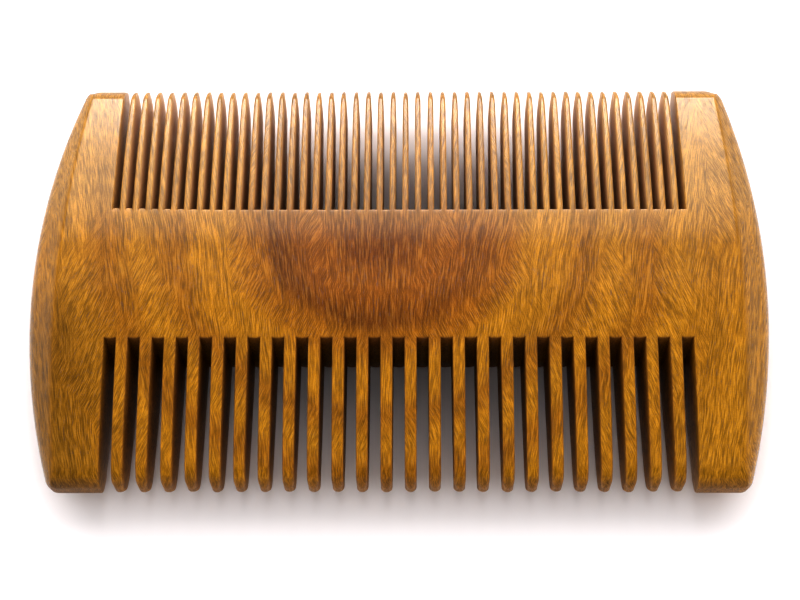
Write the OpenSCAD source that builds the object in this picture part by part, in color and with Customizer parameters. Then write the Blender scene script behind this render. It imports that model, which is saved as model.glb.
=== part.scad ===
// Double-sided beard comb, sawn and sanded from one board of hardwood.
// It lies on its back: X runs along the comb, +Y points to the fine teeth and
// +Z comes out of the front face. The origin is under the middle of the comb.
//
// The comb is one piece of wood. Each node below is one convex region of it:
// the spine between the two rows, the two end guards, and the teeth. Regions
// meet face to face at the saw-cut ends of the slots and never overlap.

/* [Board] */
// Length over the two end guards
comb_l = 105; // [98:0.5:115]
// Width from the fine tips to the coarse tips
comb_w = 61.7; // [58:0.1:66]
// Thickness of the flat middle of the spine
comb_t = 12.7; // [11.5:0.1:16]
// Width of the flat land along the middle of each face
land_w = 8; // [4:0.5:14]
// Radius of the crown that thins each face towards the tips
face_r = 138; // [130:1:200]

/* [End guards] */
// Radius of the bowed right end, seen from the front
right_r = 104; // [95:1:160]
// How far the right end's widest point lies from the middle, towards the coarse teeth
right_shift = 0.8; // [0:0.1:2]
// Radius of the bowed left end, which is sanded rounder
left_r = 93; // [90:1:160]
// How far the left end's widest point lies from the middle, towards the coarse teeth
left_shift = 2.3; // [0:0.1:3]
// Radius of the rounded outer edge
rim_r = 4.25; // [3:0.05:5]
// Slope of the bevels between that edge and the faces, in degrees
rim_slope = 45; // [38:1:55]
// Depth sanded off each of the four outer corners
corner_trim = 0.6; // [0.3:0.1:1.5]

/* [Rows of teeth] */
// Distance between the inner walls of the guards
row_l = 81.4; // [74:0.1:84]
// Number of fine teeth, always even because they are named in pairs
fine_n = 44; // [32:2:48]
// Width of a slot in the fine row
fine_slot = 0.94; // [0.7:0.01:1.1]
// Length of the fine teeth
fine_len = 22.1; // [18:0.1:23]
// Number of coarse teeth
coarse_n = 24; // [16:1:28]
// Width of a slot in the coarse row
coarse_slot = 1.62; // [1.2:0.01:1.7]
// Length of the coarse teeth
coarse_len = 20.2; // [17:0.1:22]

/* [Tooth shape] */
// Width of a tooth just before its tip, as a share of its width at the root
tip_share = 0.92; // [0.85:0.01:0.98]
// Share of the tip's half width that is left square at its end
tip_blunt = 0.25; // [0.15:0.05:0.5]

/* [Hidden] */
WOOD_LIGHT = [0.80, 0.55, 0.27];
WOOD_MID = [0.72, 0.45, 0.18];
WOOD_DEEP = [0.62, 0.36, 0.13];
ARC_FN = 360;
SMALL_FN = 48;
// Extra length that keeps a cutting shape clear of the surface it cuts
CLEAR = 1;
// Radius of the nose at the tips over that of a nose that meets the crowns smoothly
NOSE_GROWTH = 1.04;

half_l = comb_l / 2;
half_w = comb_w / 2;
half_t = comb_t / 2;

// Crown of each face: its circle's centre lies this far beyond the mid-plane
crown_d = sqrt(face_r * face_r - land_w * land_w / 4) - half_t;
// Nose: the circle that ends the section at a tip. The smooth one touches both crowns;
// the real one is a little larger, which leaves a faint edge where the crown ends.
nose_base = face_r - half_w;
smooth_nose_r = half_w - (crown_d * crown_d - nose_base * nose_base) / (2 * nose_base);
nose_r = smooth_nose_r * NOSE_GROWTH;
nose_y = half_w - nose_r;

fine_root = half_w - fine_len;
coarse_root = coarse_len - half_w;
fine_pitch = (row_l - fine_slot) / fine_n;
coarse_pitch = (row_l - coarse_slot) / coarse_n;

// Distance from the middle of the comb to where a bowed end reaches the fine tips
function fine_corner(r, shift) = half_l - r + sqrt(r * r - pow(half_w + shift, 2));
// Radius of the circle that sands off both outer corners of a bowed end
function trim_r(r, shift) = norm([fine_corner(r, shift), half_w + shift / 2]) - corner_trim;

function two_digits(i) = i < 10 ? str("0", i) : str(i);
function coarse_name(i) = str("coarse_tooth_", two_digits(i));
function fine_name(i) = str("fine_teeth_", two_digits(2 * i - 1), "_", two_digits(2 * i));

// Cross-section of the comb in Y and Z: two crowns, their flat lands and a nose at each end
module section() {
    intersection() {
        translate([0, -crown_d])
            circle(r = face_r, $fn = ARC_FN);
        translate([0, crown_d])
            circle(r = face_r, $fn = ARC_FN);
        union() {
            square([2 * nose_y, comb_t], center = true);
            for (side = [-1, 1])
                translate([side * nose_y, 0])
                    circle(r = nose_r, $fn = SMALL_FN);
        }
    }
}

// The board with its faces crowned, from x0 to x1
module crowned_board(x0, x1) {
    translate([x0, 0, half_t])
        rotate([90, 0, 90])
            linear_extrude(x1 - x0)
                section();
}

// Disc whose rim has the rounded and bevelled outer edge of a guard
module bowed_end(r, shift) {
    rim_x = r - rim_r;
    tangent = [rim_x + rim_r * sin(rim_slope), rim_r * cos(rim_slope)];
    top = half_t + CLEAR;
    top_x = tangent.x - (top - tangent.y) / tan(rim_slope);
    translate([half_l - r, -shift, half_t])
        rotate_extrude($fn = ARC_FN) {
            translate([rim_x, 0])
                intersection() {
                    circle(r = rim_r, $fn = SMALL_FN);
                    translate([0, -rim_r])
                        square([2 * rim_r, 2 * rim_r]);
                }
            polygon([
                [0, -top],
                [top_x, -top],
                [tangent.x, -tangent.y],
                [tangent.x, tangent.y],
                [top_x, top],
                [0, top]
            ]);
        }
}

// Guard at the +X end, from the inner wall of the rows to the bowed end
module guard(r, shift) {
    intersection() {
        crowned_board(row_l / 2, half_l + CLEAR);
        bowed_end(r, shift);
        translate([0, -shift / 2, -CLEAR])
            cylinder(r = trim_r(r, shift), h = comb_t + 2 * CLEAR, $fn = ARC_FN);
    }
}

module left_guard() {
    color(WOOD_LIGHT)
        mirror([1, 0, 0])
            guard(left_r, left_shift);
}

module right_guard() {
    color(WOOD_LIGHT)
        guard(right_r, right_shift);
}

module spine() {
    color(WOOD_MID)
        intersection() {
            crowned_board(-row_l / 2, row_l / 2);
            translate([-half_l, coarse_root, -CLEAR])
                cube([comb_l, fine_root - coarse_root, comb_t + 2 * CLEAR]);
        }
}

// Outline of a tooth seen from the front, its root at Y = 0 and its tip towards +Y
module tooth_outline(root_w, len) {
    tip_w = root_w * tip_share;
    tip_y = len - tip_w / 2 * (1 - tip_blunt);
    polygon([
        [-root_w / 2, 0],
        [root_w / 2, 0],
        [tip_w / 2, tip_y],
        [-tip_w / 2, tip_y]
    ]);
    translate([0, tip_y])
        circle(d = tip_w, $fn = SMALL_FN);
}

// One tooth at x, cut from the crowned board; side is 1 for the fine row and -1 for the coarse
module tooth(x, root_w, root, len, side) {
    intersection() {
        crowned_board(x - root_w, x + root_w);
        translate([x, root, -CLEAR])
            linear_extrude(comb_t + 2 * CLEAR)
                mirror([0, side < 0 ? 1 : 0])
                    tooth_outline(root_w, len);
    }
}

module fine_tooth(i) {
    tooth(-row_l / 2 + fine_slot / 2 + (i - 0.5) * fine_pitch,
        fine_pitch - fine_slot, fine_root, fine_len, 1);
}

// Two neighbouring fine teeth, counted from the left
module fine_teeth(pair) {
    color(WOOD_LIGHT) {
        fine_tooth(2 * pair - 1);
        fine_tooth(2 * pair);
    }
}

// One coarse tooth, counted from the left
module coarse_tooth(i) {
    color(WOOD_DEEP)
        tooth(-row_l / 2 + coarse_slot / 2 + (i - 0.5) * coarse_pitch,
            coarse_pitch - coarse_slot, coarse_root, coarse_len, -1);
}

spine();
left_guard();
right_guard();
for (i = [1 : coarse_n])
    coarse_tooth(i);
for (i = [1 : fine_n / 2])
    fine_teeth(i);
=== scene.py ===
"""Looks of the double-sided beard comb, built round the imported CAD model.

The comb is one board of hardwood, so every region of it (spine, guards, teeth) is a
mesh of its own that meets its neighbours at the CAD model's own faces, and one wood
material runs through all of them in the row frame: X along the comb, +Y to the fine
teeth, +Z out of the front face. Lengths are millimetres until they reach a mesh or the
camera, except for the floor and the lamps, which are in metres.
"""
import math
import random

import bmesh
import bpy
from mathutils import Matrix, Vector


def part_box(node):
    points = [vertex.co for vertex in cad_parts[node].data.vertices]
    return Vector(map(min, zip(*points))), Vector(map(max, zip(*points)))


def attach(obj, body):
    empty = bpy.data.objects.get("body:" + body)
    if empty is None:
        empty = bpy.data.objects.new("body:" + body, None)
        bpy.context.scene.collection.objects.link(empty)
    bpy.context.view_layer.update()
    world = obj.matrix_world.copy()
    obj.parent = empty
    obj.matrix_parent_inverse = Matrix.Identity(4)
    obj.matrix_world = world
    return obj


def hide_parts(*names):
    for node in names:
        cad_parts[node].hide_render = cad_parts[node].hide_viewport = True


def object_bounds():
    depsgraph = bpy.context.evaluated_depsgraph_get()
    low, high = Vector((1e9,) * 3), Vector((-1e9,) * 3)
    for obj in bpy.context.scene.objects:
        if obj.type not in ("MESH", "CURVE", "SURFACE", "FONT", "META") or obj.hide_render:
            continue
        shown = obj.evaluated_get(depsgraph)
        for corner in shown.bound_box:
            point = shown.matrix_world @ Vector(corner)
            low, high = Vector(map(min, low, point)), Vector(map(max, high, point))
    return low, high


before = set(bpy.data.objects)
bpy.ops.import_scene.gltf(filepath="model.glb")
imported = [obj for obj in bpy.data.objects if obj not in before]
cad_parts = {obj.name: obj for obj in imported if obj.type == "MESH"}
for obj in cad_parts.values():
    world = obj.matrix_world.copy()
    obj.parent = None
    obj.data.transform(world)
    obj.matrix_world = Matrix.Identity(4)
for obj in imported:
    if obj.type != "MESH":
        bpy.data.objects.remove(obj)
cad_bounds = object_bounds()

MM = 0.001
SEED = 7

# ---------------------------------------------------------------- the board's shape
CROWN_R = 138.0         # radius of the crowned faces
LAND_W = 8.0            # width of the flat land along each face
BEVEL_DEPTH = 2.8       # how far the rounded bevel of the fine tips reaches in
BEVEL_END = 78.0        # its slope at the very tip, degrees
BEVEL_BLEND = 0.05      # softness of the edge where that bevel meets the crown
RIM_R = 4.25            # radius of the guards' outer edge
RIM_SLOPE = 45.0        # slope of the bevel between that edge and the face, degrees
RIM_BLEND = 0.22        # softness of the edge between bevel and face
WEAR_AND_HIGHLIGHT_W = 0.45           # width of the worn strip along every edge, which also carries a painted highlight
SLOT_CORNER = 0.06      # share of a slot's width in which its end turns a corner
TIP_EASE = 1.0          # how much rounder the edges of a tooth are at its tip
TIP_EASE_REACH = 4.6    # how far from the tip they start to get rounder
EASE_STEPS = (0.0, 0.076, 0.293, 0.617, 1.0)   # where a quarter round is sampled
CROWN_BLEND = 0.02      # softness of the edge between the flat land and a crown
DRIFT_FIRST = 0.30      # how much too short the first fine slot is
DRIFT_FADE = 0.036      # how much less that is with every further slot
NEAR_SLOT = 1.0         # a slot further off than this along X is not the nearest
NO_SLOT = 1e3           # distance that stands for no slot near by
THIN = 1e-6             # a radius or blend below this counts as none
TINY = 1e-9             # keeps rounding from taking a height below zero


def box_mm(node):
    """Lowest and highest corner of a CAD node, in millimetres."""
    low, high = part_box(node)
    return low / MM, high / MM


spine_low, spine_high = box_mm("spine")
MID_Z = (spine_low.z + spine_high.z) / 2
HALF_T = (spine_high.z - spine_low.z) / 2
HALF_W = cad_bounds[1].y / MM
HALF_L = cad_bounds[1].x / MM
ROW_X = spine_high.x
CROWN_D = math.sqrt(CROWN_R ** 2 - (LAND_W / 2) ** 2) - HALF_T


def soft_min(a, b, k):
    """The smaller of a and b, rounded over a difference of k."""
    h = max(k - abs(a - b), 0.0) / k
    return min(a, b) - h * h * k / 4


def smooth(t):
    """Smooth step from 0 to 1 as t goes from 0 to 1."""
    t = min(max(t, 0.0), 1.0)
    return t * t * (3 - 2 * t)


def crown(y):
    """Half the board's thickness at y, before its tips are rounded."""
    return soft_min(HALF_T, math.sqrt(CROWN_R ** 2 - y * y) - CROWN_D, CROWN_BLEND)


def quarter(t):
    """Height of a quarter ellipse that rises from 0 to 1 as t goes from 0 to 1."""
    t = min(max(t, 0.0), 1.0)
    return math.sqrt(1 - (1 - t) ** 2)


# The bevel of the fine tips is an arc through the tip and through the crown
_h = crown(HALF_W - BEVEL_DEPTH)
_lean = math.radians(BEVEL_END)
BEVEL_R = (BEVEL_DEPTH ** 2 + _h ** 2) / (2 * (BEVEL_DEPTH * math.sin(_lean) - _h * math.cos(_lean)))
BEVEL_IN = BEVEL_R * math.sin(_lean)
BEVEL_DOWN = BEVEL_R * math.cos(_lean)


def fine_nose(depth):
    """Half thickness at a depth in from the fine tips: a rounded bevel, then the crown."""
    thick = crown(HALF_W - depth)
    reach = BEVEL_IN - min(depth, BEVEL_DEPTH)
    height = math.sqrt(BEVEL_R ** 2 - reach ** 2)
    bevel = height - BEVEL_DOWN + max(depth - BEVEL_DEPTH, 0.0) * reach / height
    return soft_min(thick, bevel + TINY, BEVEL_BLEND)


def coarse_nose(reach, face):
    """The same for a blunt end: its edges are rounded over a reach, down to a flat face."""
    def half_thickness(depth):
        thick = crown(HALF_W - depth)
        return thick * (face + (1 - face) * quarter(depth / reach))
    return half_thickness


# ---------------------------------------------------------------- rows of teeth
class Row:
    """One row of teeth: its side (+1 fine, -1 coarse), the roots' Y and every tooth's X."""

    def __init__(self, side, root, teeth, nose, drift, ease, ridge, tip_share, tip_reach):
        self.side = side
        self.root = root
        self.teeth = teeth              # (left X, right X) of every tooth at its root
        self.nose = nose                # half thickness at a depth in from the tips
        self.ease = ease                # radius of the eased edges
        self.tip_share = tip_share      # width just before the tip, as a share of the root's
        self.tip_reach = tip_reach      # length of the rounding seen from the front
        self.ridge = ridge              # height of the ridge that the saw leaves in a slot
        edges = [-ROW_X] + [x for tooth in teeth for x in tooth] + [ROW_X]
        self.slots = [(edges[i], edges[i + 1], drift(i // 2)) for i in range(0, len(edges), 2)]

    def slot_end(self, slot, x):
        """Y of a slot's end at x: a low ridge in the middle, and short by the slot's drift."""
        left, right, drift = slot
        across = min(x - left, right - x) / (right - left)
        low_ridge = self.ridge * 4 * across * (1 - across)
        return self.root + self.side * (low_ridge + drift * smooth(across / SLOT_CORNER))

    def slot_at(self, x):
        """The slot that x lies in, or None at the root of a tooth."""
        for slot in self.slots:
            if slot[0] <= x <= slot[1]:
                return slot
        return None

    def distance(self, x, y):
        """How far a point of the wood is from the nearest slot of this row."""
        nearest = NO_SLOT
        for slot in self.slots:
            left, right = slot[0], slot[1]
            if right < x - NEAR_SLOT or left > x + NEAR_SLOT:
                continue
            sideways = max(left - x, x - right, 0.0)
            end = self.slot_end(slot, min(max(x, left), right))
            short = max((end - y) * self.side, 0.0)
            nearest = min(nearest, math.hypot(sideways, short))
        return nearest


def eased(distance, radius):
    """Drop of a face next to an edge that is rounded to a radius."""
    if distance >= radius:
        return 0.0
    inward = radius - max(distance, 0.0)
    return radius - math.sqrt(radius ** 2 - inward ** 2)


def wear_and_highlight(distance):
    """How worn the wood is at a distance from an edge, from 0 to 1; it also sets a painted highlight
    along the edge.
    """
    return max(1 - distance / WEAR_AND_HIGHLIGHT_W, 0.0)


def no_drift(i):
    """The coarse slots all end in line."""
    return 0.0


def fine_drift(i):
    """The first fine slots are a little short."""
    return max(0.0, DRIFT_FIRST - DRIFT_FADE * i)


coarse_names = sorted(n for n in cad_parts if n.startswith("coarse_tooth_"))
fine_names = sorted(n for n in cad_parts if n.startswith("fine_teeth_"))

coarse_boxes = [box_mm(n) for n in coarse_names]
fine_boxes = [box_mm(n) for n in fine_names]
fine_pitch = (fine_boxes[1][0].x - fine_boxes[0][0].x) / 2
fine_width = fine_pitch - (fine_boxes[1][0].x - fine_boxes[0][1].x)
fine_teeth = []
for low, high in fine_boxes:
    fine_teeth.append((low.x, low.x + fine_width))
    fine_teeth.append((high.x - fine_width, high.x))
coarse_teeth = [(low.x, high.x) for low, high in coarse_boxes]

fine_row = Row(1, spine_high.y, fine_teeth, fine_nose, fine_drift,
               ease=0.2, ridge=0.03, tip_share=0.92, tip_reach=4.6)
coarse_row = Row(-1, spine_low.y, coarse_teeth, coarse_nose(reach=2.8, face=0.15), no_drift,
                 ease=0.26, ridge=0.12, tip_share=0.94, tip_reach=1.1)


# ---------------------------------------------------------------- meshes
WELD = 2e-7             # vertices closer than this are merged, metres
DEGENERATE = 1e-8       # edges shorter than this are dissolved, metres
SHARP_ANGLE = 34.0      # edges that turn by more than this are drawn sharp, degrees
WALL_STEPS = (0.5, 0.0, -0.5)       # where a wall is sampled, over half its height

ROOT_EXTRA = (0.15, 0.35)           # samples just past the eased root of a tooth
LONG_START = 1.0                    # where the even samples along a tooth start
SHOULDER_EXTRA = (0.25, 0.08, 0.0)  # samples just before the bevel of a tip
TOOTH_STEPS = 17                    # even samples along a tooth
TIP_STEPS = 14                      # samples along the bevel of a tip

REACH_RANGE = (0.88, 1.12)      # a tooth's own factor on the rounding of its tip
SHORT_RANGE = (0.0, 0.10)       # how much shorter than its row a tooth is
NARROW_RANGE = (0.975, 1.0)     # its own factor on the width just before the tip
LEAN_RANGE = (-0.04, 0.04)      # how far its tip leans along X
WORN_RANGE = (0.9, 1.15)        # its own factor on the radius of the eased edges
WORN_RISE = 4                   # how fast that factor sets in away from the root
TIP_HALF_MIN = 0.02             # half width at the very tip
ROOT_ZONE = 1.5                 # length of the root's easing, over its radius
INSIDE = 0.999                  # keeps a sample just inside the side of a tooth

SLOT_STEPS = (SLOT_CORNER, 0.25, 0.5, 0.75, 1 - SLOT_CORNER)    # samples across a slot's end
COLUMN_GAP = 5e-4       # columns closer than this are the same
COARSE_CLEAR = 1.0      # where the even samples across the spine start
FINE_CLEAR = 0.7        # how far before the fine teeth they stop
SPINE_STEPS = 15        # even samples across the spine


def make_piece(name, solids, node):
    """A mesh from solids, each a list of equal loops of (x, y, z, wear and painted highlight) in
    millimetres.
    """
    mesh = bpy.data.meshes.new(name)
    verts, faces, worn = [], [], []
    for loops in solids:
        start, n = len(verts), len(loops[0])
        for loop in loops:
            verts.extend((x * MM, y * MM, (MID_Z + z) * MM) for x, y, z, _w in loop)
            worn.extend(point[3] for point in loop)
        for i in range(len(loops) - 1):
            a, b = start + i * n, start + (i + 1) * n
            for j in range(n):
                k = (j + 1) % n
                faces.append((a + j, a + k, b + k, b + j))
        faces.append(tuple(range(start, start + n))[::-1])
        last = start + (len(loops) - 1) * n
        faces.append(tuple(range(last, last + n)))
    mesh.from_pydata(verts, [], faces)
    # The wear mask also places a painted highlight along every edge
    mesh.attributes.new("wear_and_highlight", "FLOAT", "POINT").data.foreach_set("value", worn)
    bm = bmesh.new()
    bm.from_mesh(mesh)
    bmesh.ops.remove_doubles(bm, verts=bm.verts, dist=WELD)
    bmesh.ops.dissolve_degenerate(bm, dist=DEGENERATE, edges=bm.edges)
    bmesh.ops.recalc_face_normals(bm, faces=bm.faces)
    bm.to_mesh(mesh)
    bm.free()
    mesh.polygons.foreach_set("use_smooth", [True] * len(mesh.polygons))
    mesh.set_sharp_from_angle(angle=math.radians(SHARP_ANGLE))
    piece = bpy.data.objects.new(name, mesh)
    bpy.context.scene.collection.objects.link(piece)
    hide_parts(node)
    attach(piece, "root")
    return piece


def even(a, b, count):
    """So many values from a towards b, evenly spaced, without b itself."""
    return [a + (b - a) * i / count for i in range(count)]


def tip_rows(row, count):
    """Y values from a row's roots to its tips, close together where the shape turns."""
    side, root = row.side, row.root
    shoulder = side * (HALF_W - BEVEL_DEPTH)
    values = [root + side * row.ease * t for t in EASE_STEPS]
    values += [root + side * (row.ease + d) for d in ROOT_EXTRA]
    values += even(root + side * LONG_START, shoulder - side * SHOULDER_EXTRA[0], count)
    values += [shoulder - side * d for d in SHOULDER_EXTRA]
    for i in range(1, TIP_STEPS + 1):
        values.append(side * (HALF_W - BEVEL_DEPTH * (1 - i / TIP_STEPS) ** 2.0))
    return values


def tooth_loops(row, tooth, rng):
    """Loops of one tooth, from its root to its tip."""
    left, right = tooth
    centre, half = (left + right) / 2, (right - left) / 2
    length = HALF_W - abs(row.root)
    reach = row.tip_reach * rng.uniform(*REACH_RANGE)
    short = rng.uniform(*SHORT_RANGE)
    tip_share = row.tip_share * rng.uniform(*NARROW_RANGE)
    lean = rng.uniform(*LEAN_RANGE)
    worn = rng.uniform(*WORN_RANGE)
    loops = []
    for y in tip_rows(row, TOOTH_STEPS):
        out = abs(y - row.root)
        share = out / length
        y_here = row.root + row.side * (out - short * share)
        to_tip = length - out
        taper = half * (1 - (1 - tip_share) * share)
        width = max(taper * quarter(to_tip / reach), TIP_HALF_MIN)
        middle = centre + lean * share
        height = row.nose(to_tip)
        at_root = out < row.ease * ROOT_ZONE
        radius = row.ease * (1 + (worn - 1) * min(1.0, WORN_RISE * share))
        radius *= 1 + TIP_EASE * smooth(1 - to_tip / TIP_EASE_REACH)
        radius = min(radius, width, height)
        profile = []
        for w in [width - radius * t for t in EASE_STEPS] + [(width - radius) * 0.5, 0.0]:
            if at_root:
                drop = eased(row.distance(middle + w * INSIDE, y), row.ease)
            else:
                drop = eased(width - w, radius) if radius > THIN else 0.0
            profile.append((w, max(height - drop, 0.0), wear_and_highlight(width - w)))
        wall = [(width, profile[0][1] * t, 0.0) for t in WALL_STEPS]
        ring = profile[::-1] + wall + [(w, -z, v) for w, z, v in profile]
        ring += [(-w, z, v) for w, z, v in ring[::-1]][1:-1]
        loops.append([(middle + w, y_here, z, v) for w, z, v in ring])
    return loops


def make_teeth():
    """Every tooth of both rows, the fine ones in neighbouring pairs."""
    rng = random.Random(SEED)
    pieces = []
    for name, tooth in zip(coarse_names, coarse_row.teeth):
        pieces.append(make_piece(name + "_wood", [tooth_loops(coarse_row, tooth, rng)], name))
    for i, name in enumerate(fine_names):
        pair = fine_row.teeth[2 * i:2 * i + 2]
        pieces.append(make_piece(name + "_wood", [tooth_loops(fine_row, t, rng) for t in pair], name))
    return pieces


def spine_columns():
    """X of every column of the spine's mesh: at slot edges, between them and beside them."""
    columns = {-ROW_X, ROW_X}
    for row in (fine_row, coarse_row):
        for left, right, _drift in row.slots:
            for t in EASE_STEPS:
                columns.add(left - row.ease * t)
                columns.add(right + row.ease * t)
            for t in SLOT_STEPS:
                columns.add(left + (right - left) * t)
        for left, right in row.teeth:
            columns.add((left + right) / 2)
    kept = []
    for x in sorted(c for c in columns if -ROW_X <= c <= ROW_X):
        if not kept or x - kept[-1] > COLUMN_GAP:
            kept.append(x)
    return kept


def middle_rows():
    """Evenly spaced Y values across the spine, clear of both rows."""
    return even(coarse_row.root + COARSE_CLEAR, fine_row.root - FINE_CLEAR, SPINE_STEPS)


def make_spine():
    """The spine, as loops round the board at every column."""
    inner = middle_rows() + [fine_row.root - FINE_CLEAR]
    loops = []
    for x in spine_columns():
        ends = []
        for row in (coarse_row, fine_row):
            slot = row.slot_at(x)
            ends.append(row.slot_end(slot, x) if slot else row.root)
        coarse_end, fine_end = ends
        ys = [coarse_end + coarse_row.ease * t for t in EASE_STEPS] + inner
        ys += [fine_end - fine_row.ease * t for t in EASE_STEPS[::-1]]
        top = []
        for y in ys:
            row = fine_row if y > 0 else coarse_row
            distance = row.distance(x, y)
            top.append((y, crown(y) - eased(distance, row.ease), wear_and_highlight(distance)))
        bottom = [(y, -z, w) for y, z, w in top[::-1]]
        fine_wall = [(fine_end, top[-1][1] * t, 0.0) for t in WALL_STEPS]
        coarse_wall = [(coarse_end, top[0][1] * t, 0.0) for t in WALL_STEPS[::-1]]
        loops.append([(x, y, z, w) for y, z, w in top + fine_wall + bottom + coarse_wall])
    return make_piece("spine_wood", [loops], "spine")


# ---------------------------------------------------------------- end guards
GUARD_STEPS = 14        # even samples along a guard beside each row
FLAT_START = 0.6        # where the even samples across a guard start
FLAT_STEPS = 8          # even samples across a guard
RIM_EXTRA = (-0.3, -0.12, 0.0, 0.12)    # samples beside the line where its rim starts
RIM_STEPS = 12          # samples round the rim
RIM_LEAST = 0.05        # least width of the rim
RIM_CLEAR = 0.13        # how far past that line the samples round the rim start
RIM_PAST = 0.14         # and how much of the rim's width they leave out for it


def rim(depth):
    """Half thickness of a guard's outer edge at a depth in from the bowed outline."""
    slope = math.radians(RIM_SLOPE)
    arc_depth = RIM_R * (1 - math.sin(slope))
    if depth <= 0:
        return 0.0
    if depth < arc_depth:
        return math.sqrt(RIM_R ** 2 - (RIM_R - depth) ** 2)
    return RIM_R * math.cos(slope) + (depth - arc_depth) * math.tan(slope)


def rim_depth(height):
    """Depth at which the guard's outer edge reaches a half thickness."""
    slope = math.radians(RIM_SLOPE)
    arc_height = RIM_R * math.cos(slope)
    if height < arc_height:
        return RIM_R - math.sqrt(RIM_R ** 2 - height ** 2)
    return RIM_R * (1 - math.sin(slope)) + (height - arc_height) / math.tan(slope)


class Guard:
    """One bowed end of the comb; side is +1 for the right one and -1 for the left."""

    def __init__(self, side, bow_r, bow_shift, fine_corner, coarse_corner):
        self.side = side
        self.bow_r = bow_r                  # radius of the bow, seen from the front
        self.bow_shift = bow_shift          # its widest point lies this far towards the coarse teeth
        self.corners = {1: fine_corner, -1: coarse_corner}
        self.noses = {1: fine_nose, -1: coarse_nose(reach=2.6, face=0.3)}

    def edge_x(self, y, depth):
        """Distance from the middle of the comb to a line that runs a depth inside the bow."""
        across = math.sqrt((self.bow_r - depth) ** 2 - (y + self.bow_shift) ** 2)
        return HALF_L - self.bow_r + across

    def corner_cut(self, d_end, d_bow, radius):
        """How much both edge distances shrink where an outer corner is rounded."""
        a, b = max(radius - d_end, 0.0), max(radius - d_bow, 0.0)
        if a <= 0 or b <= 0:
            return 0.0
        return max(min(d_end, d_bow) - (radius - math.hypot(a, b)), 0.0)

    def height(self, x, y):
        """Half thickness at a point, with x counted outwards from the middle of the comb."""
        end = 1 if y > 0 else -1
        d_end = HALF_W - abs(y)
        d_bow = self.bow_r - math.hypot(x - HALF_L + self.bow_r, y + self.bow_shift)
        cut = self.corner_cut(d_end, d_bow, self.corners[end])
        body = self.noses[end](d_end - cut) if d_end - cut >= 0 else 0.0
        edge = rim(d_bow - cut)
        height = soft_min(body, edge, min(RIM_BLEND, max(body, edge, THIN)))
        row = fine_row if y > 0 else coarse_row
        return max(height - eased(row.distance(self.side * x, y), row.ease), 0.0)

    def loops(self):
        """Loops from the coarse end to the fine end."""
        ys = tip_rows(coarse_row, GUARD_STEPS)[::-1]
        ys += [coarse_row.root + coarse_row.ease * t for t in EASE_STEPS[1:]]
        ys += middle_rows()
        ys += [fine_row.root - fine_row.ease * t for t in EASE_STEPS[:0:-1]]
        ys += tip_rows(fine_row, GUARD_STEPS)
        loops = []
        for y in ys:
            end = 1 if y > 0 else -1
            row = fine_row if y > 0 else coarse_row
            d_end = HALF_W - abs(y)
            radius = self.corners[end]
            inset = radius * (1 - quarter(d_end / radius))
            edge = max(rim_depth(self.noses[end](d_end)), inset + RIM_LEAST)
            x_edge, x_out = self.edge_x(y, edge), self.edge_x(y, inset)
            xs = [ROW_X + row.ease * t for t in EASE_STEPS]
            xs += even(ROW_X + FLAT_START, x_edge + RIM_EXTRA[0], FLAT_STEPS)
            xs += [x_edge + d for d in RIM_EXTRA]
            for i in range(1, RIM_STEPS + 1):
                depth = inset + (edge - inset - RIM_PAST) * (1 - i / RIM_STEPS) ** 2
                xs.append(max(self.edge_x(y, depth), x_edge + RIM_CLEAR))
            top = []
            for x in xs:
                from_edge = min(row.distance(self.side * x, y), abs(x - x_edge))
                top.append((x, self.height(x, y), wear_and_highlight(from_edge)))
            top[-1] = (x_out, 0.0, 0.0)
            bottom = [(x, -z, w) for x, z, w in top[:-1][::-1]]
            wall = [(ROW_X, top[0][1] * t, 0.0) for t in WALL_STEPS[::-1]]
            loops.append([(self.side * x, y, z, w) for x, z, w in top + bottom + wall])
        return loops


def make_guards():
    left = Guard(-1, bow_r=93.0, bow_shift=2.3, fine_corner=1.8, coarse_corner=1.2)
    right = Guard(1, bow_r=104.0, bow_shift=0.8, fine_corner=2.3, coarse_corner=1.2)
    return [
        make_piece("left_guard_wood", [left.loops()], "left_guard"),
        make_piece("right_guard_wood", [right.loops()], "right_guard"),
    ]


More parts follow.
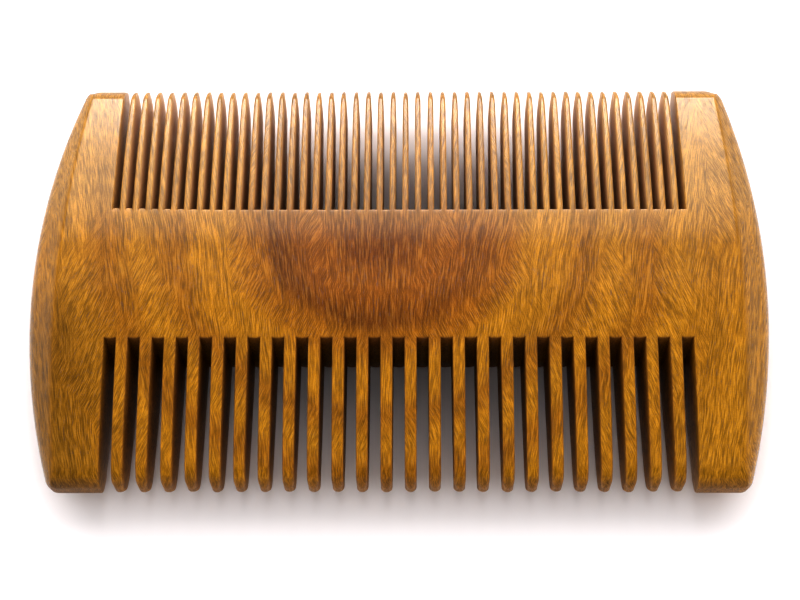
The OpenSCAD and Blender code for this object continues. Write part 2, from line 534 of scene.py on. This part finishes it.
# ---------------------------------------------------------------- the wood
class Shader:
    """A material's node tree, with short calls for the nodes that the wood needs."""

    def __init__(self, name):
        self.material = bpy.data.materials.new(name)
        self.material.use_nodes = True
        self.tree = self.material.node_tree
        self.surface = self.tree.nodes["Principled BSDF"]

    def feed(self, socket, value):
        """Link an output to an input socket, or set the socket to a plain value."""
        if isinstance(value, bpy.types.NodeSocket):
            self.tree.links.new(value, socket)
        elif value is not None:
            socket.default_value = value

    def math(self, operation, a, b=None, c=None):
        """An operation of the math node on up to three values."""
        node = self.tree.nodes.new("ShaderNodeMath")
        node.operation = operation
        for socket, value in zip(node.inputs, (a, b, c)):
            self.feed(socket, value)
        return node.outputs[0]

    def step(self, value, start, end):
        """Smooth step from 0 to 1 as a value goes from start to end."""
        node = self.tree.nodes.new("ShaderNodeMapRange")
        node.interpolation_type = "SMOOTHSTEP"
        self.feed(node.inputs["Value"], value)
        low, high = sorted((start, end))
        node.inputs["From Min"].default_value = low
        node.inputs["From Max"].default_value = high
        node.inputs["To Min"].default_value = 0.0 if start < end else 1.0
        node.inputs["To Max"].default_value = 1.0 if start < end else 0.0
        return node.outputs["Result"]

    def span(self, value, low, high):
        """A value from 0 to 1 stretched to low to high."""
        return self.math("MULTIPLY_ADD", value, high - low, low)

    def point(self, x, y, z):
        """A point from its three coordinates."""
        node = self.tree.nodes.new("ShaderNodeCombineXYZ")
        for socket, value in zip(node.inputs, (x, y, z)):
            self.feed(socket, value)
        return node.outputs[0]

    def noise(self, at, scale=1.0, detail=2.0, rough=0.5):
        """Noise from 0 to 1 at a point."""
        node = self.tree.nodes.new("ShaderNodeTexNoise")
        self.feed(node.inputs["Vector"], at)
        node.inputs["Scale"].default_value = scale
        node.inputs["Detail"].default_value = detail
        node.inputs["Roughness"].default_value = rough
        return node.outputs["Fac"]

    def ramp(self, value, stops):
        """Colours along a value, as (position, colour) stops."""
        node = self.tree.nodes.new("ShaderNodeValToRGB")
        node.color_ramp.interpolation = "EASE"
        elements = node.color_ramp.elements
        while len(elements) < len(stops):
            elements.new(0.5)
        for element, (position, color) in zip(elements, stops):
            element.position = position
            element.color = (*color, 1)
        self.feed(node.inputs["Fac"], value)
        return node.outputs["Color"]

    def mix(self, share, a, b, blend="MIX"):
        """Colour a with a share of colour b blended in."""
        node = self.tree.nodes.new("ShaderNodeMix")
        node.data_type = "RGBA"
        node.blend_type = blend
        self.feed(node.inputs["Factor"], share)
        for socket, value in ((node.inputs["A"], a), (node.inputs["B"], b)):
            self.feed(socket, (*value, 1) if isinstance(value, tuple) else value)
        return node.outputs["Result"]

    def lighten(self, color, factor):
        """A colour multiplied by a number."""
        node = self.tree.nodes.new("ShaderNodeVectorMath")
        node.operation = "SCALE"
        self.feed(node.inputs[0], color)
        self.feed(node.inputs["Scale"], factor)
        return node.outputs[0]


RING_X = -3.0           # X of the middle of the figure
RING_Y = 6.0            # Y where its arms start to run straight to the fine teeth
RING_DIP = 0.9          # how far the rings dip towards the fine teeth per millimetre of depth
RING_SPAN = 56.0        # radius at which the last colour of the rings is reached
LEAN = 0.40             # slant of the interlocked fibres, as run over rise
ARM_LEAN = 0.17         # slant of the others, which follow the arms of the figure
PLATE = 5.0             # depth of a streak into the board over its width
WANDER = 2.6            # how far the rings wander to either side
RIPPLE = 0.9            # how far they ripple on top of that
HEART_W = 11.0          # width over which the orange heartwood comes in
ARM_SPREAD = 14.0       # distance over which the arms turn from one slant to the other
SWAY = 0.5              # how far the fibres sway to either side
LEAN_BLEND = 5          # half the width over which the slanted fibres change sides
FIBRE_W = 0.13          # width of a fibre and of a pore
FIBRE_L = 2.6           # length of a fibre
PORE_L = 1.1            # length of a pore
BAND_W = 0.9            # width of a band of fibres
BAND_L = 14.0           # length of a band
BUMP = 0.006            # height of the relief of fibres and pores

SAPWOOD_AND_SHEEN = (0.380, 0.205, 0.0500)    # the lighter wood of the fine half, made paler and bluer by a painted sheen
HEARTWOOD = (0.250, 0.080, 0.0016)  # the orange wood right of the dark ring
PALE_STREAK = (0.52, 0.31, 0.06)    # the lightest fibres
PORE = (0.060, 0.018, 0.0010)
SAWN_AND_LIT_FINE = (0.68, 0.44, 0.24)      # slot walls of the fine row: dry sawn wood, painted paler towards the tips as if lit there
RUBBED_AND_HIGHLIGHT = (0.42, 0.20, 0.06)         # worn edges, with a painted highlight along them

# Factors on the colour of the wood
OLIVE = (0.64, 0.64, 0.80)          # coarse end of the left guard
# End grain is darker, and this darkening also paints shade on the ends of the tips
END_GRAIN_AND_SHADE = (0.55, 0.50, 0.50)
SAWN_AND_SHADED_COARSE = (0.77, 0.70, 1.0)     # slot walls of the coarse row: dull sawn wood with painted shade between the teeth, tinted mauve

# How much of a colour is mixed into the wood at most
HEART_SHARE = 0.5
SAP_AND_SHEEN_SHARE = 0.6
PALE_SHARE = 0.20
PORE_SHARE = 0.42
END_GRAIN_AND_SHADE_SHARE = 0.8
SAWN_AND_LIT_FINE_SHARE = 0.85
RUBBED_AND_HIGHLIGHT_SHARE = 0.30

# Darkest and lightest factor on the colour of the wood
STREAK_TONE = (0.62, 1.38)
BAND_TONE = (0.84, 1.16)
MOTTLE_TONE = (0.85, 1.15)
SPECKLE_TONE = (0.75, 1.25)

# Where each starts and is complete, in millimetres
HEART_R = (21.0, 16.0)              # radius, for the orange heartwood
SAP_AND_SHEEN_Y = (2.0, 14.0)                 # Y, for the lighter sapwood and its painted sheen
OLIVE_X = (-36.0, -48.0)
OLIVE_Y = (2.0, -11.0)
SAWN_AND_SHADED_COARSE_Y = (3.0, -3.0)
SAWN_AND_LIT_FINE_Y = (4.0, 14.0)

ROUGHNESS = (0.26, 0.19)            # between the fibres and on them
ROUGH_CUT = 0.25                    # added in pores, on slot walls and on end grain
SMOOTH_RUBBED = 0.06                # taken off worn edges
SPECULAR = 0.25

# Colours of the rings, linear: (radius, colour)
RINGS = (
    (0.0, (0.170, 0.048, 0.0012)),
    (4.5, (0.175, 0.050, 0.0012)),
    (9.0, (0.245, 0.078, 0.0015)),
    (11.5, (0.225, 0.070, 0.0015)),
    (14.5, (0.155, 0.047, 0.0012)),
    (18.0, (0.280, 0.103, 0.0018)),
    (22.5, (0.355, 0.152, 0.0030)),
    (25.5, (0.350, 0.150, 0.0030)),
    (29.0, (0.265, 0.103, 0.0025)),
    (34.0, (0.355, 0.154, 0.0035)),
    (38.5, (0.275, 0.108, 0.0025)),
    (43.0, (0.360, 0.158, 0.0040)),
    (48.0, (0.330, 0.142, 0.0035)),
    (56.0, (0.345, 0.155, 0.0055)),
)


def wood():
    """The comb's hardwood: figure, interlocked fibres, pores, end grain and worn edges, with painted
    sheen, shade, light and edge highlights.
    """
    s = Shader("wood")
    coords = s.tree.nodes.new("ShaderNodeTexCoord")
    place = s.tree.nodes.new("ShaderNodeVectorMath")
    place.operation = "SCALE"
    s.feed(place.inputs[0], coords.outputs["Object"])
    place.inputs["Scale"].default_value = 1 / MM
    split = s.tree.nodes.new("ShaderNodeSeparateXYZ")
    s.feed(split.inputs[0], place.outputs[0])
    x, y, z = split.outputs
    facing = s.tree.nodes.new("ShaderNodeSeparateXYZ")
    s.feed(facing.inputs[0], coords.outputs["Normal"])

    # Growth rings: nested arcs round a point on the spine, open towards the fine teeth
    wander = s.span(s.noise(place.outputs[0], scale=0.11, detail=2.0), -WANDER, WANDER)
    stretched = s.point(s.math("MULTIPLY", x, 0.9), s.math("MULTIPLY", y, 0.16), z)
    ripple = s.span(s.noise(stretched, scale=0.8, detail=1.0), -RIPPLE, RIPPLE)
    across = s.math("ADD", s.math("SUBTRACT", x, RING_X), s.math("ADD", wander, ripple))
    depth = s.math("MULTIPLY", s.math("SUBTRACT", spine_high.z, z), RING_DIP)
    down = s.math("MAXIMUM", s.math("ADD", s.math("SUBTRACT", RING_Y, y), depth), 0.0)
    squares = s.math("ADD", s.math("MULTIPLY", across, across), s.math("MULTIPLY", down, down))
    radius = s.math("SQRT", squares)
    rings = s.ramp(s.math("DIVIDE", radius, RING_SPAN), [(r / RING_SPAN, c) for r, c in RINGS])
    pale = s.math("MULTIPLY", s.step(x, RING_X, RING_X + HEART_W), s.step(radius, *HEART_R))
    rings = s.mix(s.math("MULTIPLY", pale, HEART_SHARE), rings, HEARTWOOD)
    # Painted sheen: the fine half turns paler and bluer, partly lighter wood and partly the gloss it
    # catches
    rings = s.mix(s.math("MULTIPLY", s.step(y, *SAP_AND_SHEEN_Y), SAP_AND_SHEEN_SHARE), rings, SAPWOOD_AND_SHEEN)

    # Fibres: straight ones follow the arms, and interlocked layers slant the other way
    side = s.math("TANH", s.math("DIVIDE", s.math("SUBTRACT", x, RING_X), ARM_SPREAD))
    arm = s.math("SUBTRACT", x, s.math("MULTIPLY", s.math("MULTIPLY", side, ARM_LEAN), y))
    swaying = s.point(s.math("MULTIPLY", x, 0.10), s.math("MULTIPLY", y, 0.13), z)
    sway = s.span(s.noise(swaying, scale=1.0, detail=1.0), -SWAY, SWAY)
    layered = s.point(s.math("MULTIPLY", radius, 0.13), s.math("MULTIPLY", y, 0.03), 4.0)
    layer = s.noise(layered, scale=1.0, detail=1.0)
    slanted = s.step(layer, 0.50, 0.58)

    def fibre(across_fibre, width, length, seed, detail):
        """Streaks so wide and long, in millimetres, along a family of fibres."""
        at = s.point(s.math("DIVIDE", s.math("ADD", across_fibre, sway), width),
                     s.math("DIVIDE", y, length),
                     s.math("ADD", s.math("DIVIDE", z, width * PLATE), seed))
        return s.noise(at, scale=1.0, detail=detail, rough=0.55)

    def woven(width, length, seed, detail=2.0):
        """The same for the whole board: straight, or slanted left or right of the figure."""
        straight = fibre(arm, width, length, seed, detail)
        leans = []
        for lean in (-LEAN, LEAN):
            leaning = s.math("ADD", x, s.math("MULTIPLY", y, lean))
            leans.append(fibre(leaning, width, length * 0.6, seed + 3.0, detail))
        cross = s.tree.nodes.new("ShaderNodeMix")
        s.feed(cross.inputs["Factor"], s.step(x, RING_X - LEAN_BLEND, RING_X + LEAN_BLEND))
        s.feed(cross.inputs["A"], leans[0])
        s.feed(cross.inputs["B"], leans[1])
        both = s.tree.nodes.new("ShaderNodeMix")
        s.feed(both.inputs["Factor"], slanted)
        s.feed(both.inputs["A"], straight)
        s.feed(both.inputs["B"], cross.outputs["Result"])
        return both.outputs["Result"]

    streaks = woven(FIBRE_W, FIBRE_L, seed=0.0)
    bands = woven(BAND_W, BAND_L, seed=11.0)
    pores = s.step(woven(FIBRE_W, PORE_L, seed=23.0, detail=1.0), 0.60, 0.72)
    mottle = s.noise(place.outputs[0], scale=0.55, detail=3.0)
    speckle = s.noise(place.outputs[0], scale=5.0, detail=1.0)

    color = s.lighten(rings, s.span(s.step(streaks, 0.34, 0.66), *STREAK_TONE))
    color = s.lighten(color, s.span(s.step(bands, 0.25, 0.75), *BAND_TONE))
    color = s.lighten(color, s.span(mottle, *MOTTLE_TONE))
    color = s.lighten(color, s.span(speckle, *SPECKLE_TONE))
    color = s.mix(s.math("MULTIPLY", s.step(streaks, 0.50, 0.68), PALE_SHARE), color, PALE_STREAK)
    color = s.mix(s.math("MULTIPLY", pores, PORE_SHARE), color, PORE)

    # The left guard and the ends of its neighbours are darker and greener at the coarse end
    olive = s.math("MULTIPLY", s.step(x, *OLIVE_X), s.step(y, *OLIVE_Y))
    color = s.mix(olive, color, OLIVE, "MULTIPLY")

    # End grain is darker, and the darkening also paints shade on the tip ends; slot walls are dull,
    # with painted shade between the coarse teeth and painted light on the fine ones towards the tips
    end_grain_and_shade = s.step(s.math("ABSOLUTE", facing.outputs[1]), 0.55, 0.95)
    color = s.mix(s.math("MULTIPLY", end_grain_and_shade, END_GRAIN_AND_SHADE_SHARE), color, END_GRAIN_AND_SHADE, "MULTIPLY")
    in_rows = s.step(s.math("ABSOLUTE", x), ROW_X + 0.1, ROW_X - 0.1)
    beside = s.math("MULTIPLY", s.step(s.math("ABSOLUTE", facing.outputs[0]), 0.6, 0.9), in_rows)
    # Painted shade: the coarse slot walls are darkened and tinted mauve, as if in shade between the
    # teeth
    coarse_cut_and_shade = s.math("MULTIPLY", beside, s.step(y, *SAWN_AND_SHADED_COARSE_Y))
    color = s.mix(coarse_cut_and_shade, color, SAWN_AND_SHADED_COARSE, "MULTIPLY")
    # Painted light: the fine slot walls turn pale towards the tips, where light reaches in between the
    # teeth
    fine_cut_and_light = s.math("MULTIPLY", s.math("MULTIPLY", beside, s.step(y, *SAWN_AND_LIT_FINE_Y)), SAWN_AND_LIT_FINE_SHARE)
    color = s.mix(fine_cut_and_light, color, SAWN_AND_LIT_FINE)

    # Worn edges are rubbed lighter and smoother; the lighter colour is also a painted highlight along
    # every edge
    edge = s.tree.nodes.new("ShaderNodeAttribute")
    edge.attribute_name = "wear_and_highlight"
    rubbed_and_highlight = s.math("MULTIPLY", s.math("POWER", edge.outputs["Fac"], 1.5), s.span(mottle, 0.3, 1.0))
    color = s.mix(s.math("MULTIPLY", rubbed_and_highlight, RUBBED_AND_HIGHLIGHT_SHARE), color, RUBBED_AND_HIGHLIGHT)

    rough = s.span(streaks, *ROUGHNESS)
    rough = s.math("ADD", rough, s.math("MULTIPLY", s.math("MAXIMUM", pores, beside), ROUGH_CUT))
    rough = s.math("ADD", rough, s.math("MULTIPLY", end_grain_and_shade, ROUGH_CUT))
    rough = s.math("SUBTRACT", rough, s.math("MULTIPLY", rubbed_and_highlight, SMOOTH_RUBBED))

    relief = s.math("SUBTRACT", streaks, s.math("MULTIPLY", pores, 0.8))
    bump = s.tree.nodes.new("ShaderNodeBump")
    bump.inputs["Strength"].default_value = 1.0
    bump.inputs["Distance"].default_value = BUMP * MM
    s.feed(bump.inputs["Height"], relief)

    s.feed(s.surface.inputs["Base Color"], color)
    s.feed(s.surface.inputs["Roughness"], rough)
    s.feed(s.surface.inputs["Normal"], bump.outputs["Normal"])
    s.surface.inputs["Specular IOR Level"].default_value = SPECULAR
    return s.material


# ---------------------------------------------------------------- floor, light, camera
FLOOR_SIZE = 3.0        # metres
LAMP_FAR = 0.95         # metres
FLOOR_COLOR = (0.94, 0.91, 0.92, 1)
WALL_COLOR = (0.52, 0.50, 0.505, 1)
CEILING_COLOR = (0.04, 0.04, 0.04, 1)
WALL_TOP = 0.40         # where the walls start to darken, from 0 at the horizon to 1 overhead
CEILING_START = 0.75    # where they have turned into the dark ceiling

# Lamps: name, lean in degrees, size in metres, radiance, and whether it makes the gloss
LAMPS = (
    ("sheen_high", 58.0, (0.60, 0.40), 18.0, True),
    ("sheen_low", 37.0, (0.70, 0.28), 5.2, True),
    ("key", 39.0, (2.00, 0.80), 1.3, False),
    ("low", 64.0, (2.00, 0.35), 3.0, False),
    ("top", 0.0, (1.5, 1.5), 1.35, False),
)

CAMERA_AT = (2.2, -97.4, 237.3)
CAMERA_TILT = 22.30     # degrees off the vertical
CAMERA_YAW = -0.473     # degrees
CAMERA_ROLL = -0.067    # degrees
CAMERA_LENS = 78.67
SENSOR_W = 36
CLIP_START = 0.01       # metres


def make_floor():
    """The white table that the comb lies on."""
    bpy.ops.mesh.primitive_plane_add(size=FLOOR_SIZE, location=(0, 0, cad_bounds[0].z))
    floor = bpy.context.object
    floor.name = "floor"
    mat = bpy.data.materials.new("floor")
    mat.use_nodes = True
    bsdf = mat.node_tree.nodes["Principled BSDF"]
    bsdf.inputs["Base Color"].default_value = FLOOR_COLOR
    bsdf.inputs["Roughness"].default_value = 0.85
    bsdf.inputs["Specular IOR Level"].default_value = 0.1
    floor.data.materials.append(mat)


def softbox(name, lean, size, radiance, gloss):
    """A lamp LAMP_FAR from the comb, so many degrees from the vertical towards +Y.

    It makes either the gloss or the even light, so that each can be set on its own.
    """
    lamp = bpy.data.lights.new(name, "AREA")
    lamp.shape = "RECTANGLE"
    lamp.size, lamp.size_y = size
    lamp.energy = radiance * math.pi * size[0] * size[1]
    ob = bpy.data.objects.new(name, lamp)
    angle = math.radians(lean)
    ob.location = (0.0, LAMP_FAR * math.sin(angle), LAMP_FAR * math.cos(angle))
    ob.rotation_euler = (-angle, 0.0, 0.0)
    ob.visible_glossy = gloss
    ob.visible_diffuse = not gloss
    bpy.context.scene.collection.objects.link(ob)


def make_light():
    """Grey walls under a dark ceiling, two lamps for the gloss and three for the even light."""
    world = bpy.data.worlds.new("studio")
    bpy.context.scene.world = world
    world.use_nodes = True
    tree = world.node_tree
    coords = tree.nodes.new("ShaderNodeTexCoord")
    split = tree.nodes.new("ShaderNodeSeparateXYZ")
    tree.links.new(coords.outputs["Generated"], split.inputs[0])
    ramp = tree.nodes.new("ShaderNodeValToRGB")
    ramp.color_ramp.elements[0].position = WALL_TOP
    ramp.color_ramp.elements[0].color = WALL_COLOR
    ramp.color_ramp.elements[1].position = CEILING_START
    ramp.color_ramp.elements[1].color = CEILING_COLOR
    tree.links.new(split.outputs[2], ramp.inputs["Fac"])
    tree.links.new(ramp.outputs["Color"], tree.nodes["Background"].inputs["Color"])
    for name, lean, size, radiance, gloss in LAMPS:
        softbox(name, lean, size, radiance, gloss)


def make_camera():
    """The photograph's view: from the coarse side, 22 degrees off the vertical."""
    tilt, yaw, roll = (math.radians(a) for a in (CAMERA_TILT, CAMERA_YAW, CAMERA_ROLL))
    forward = Vector((math.sin(yaw), math.sin(tilt) * math.cos(yaw), -math.cos(tilt) * math.cos(yaw)))
    forward.normalize()
    right = forward.cross(Vector((0, math.cos(tilt), math.sin(tilt)))).normalized()
    up = right.cross(forward)
    right_r = math.cos(roll) * right + math.sin(roll) * up
    up_r = math.cos(roll) * up - math.sin(roll) * right
    data = bpy.data.cameras.new("camera")
    data.sensor_width = SENSOR_W
    data.lens = CAMERA_LENS
    data.clip_start = CLIP_START
    camera = bpy.data.objects.new("camera", data)
    turn = Matrix((right_r, up_r, -forward)).transposed()
    camera.matrix_world = Matrix.Translation(Vector(CAMERA_AT) * MM) @ turn.to_4x4()
    bpy.context.scene.collection.objects.link(camera)
    bpy.context.scene.camera = camera


make_camera()
pieces = [make_spine(), *make_guards(), *make_teeth()]
wood_material = wood()
for piece in pieces:
    piece.data.materials.append(wood_material)
make_floor()
make_light()
# The photo's contrast is stronger than a plain display of this light gives
view = bpy.context.scene.view_settings
view.view_transform = "Standard"
view.exposure = 0.35
view.gamma = 0.75

bpy.context.view_layer.update()
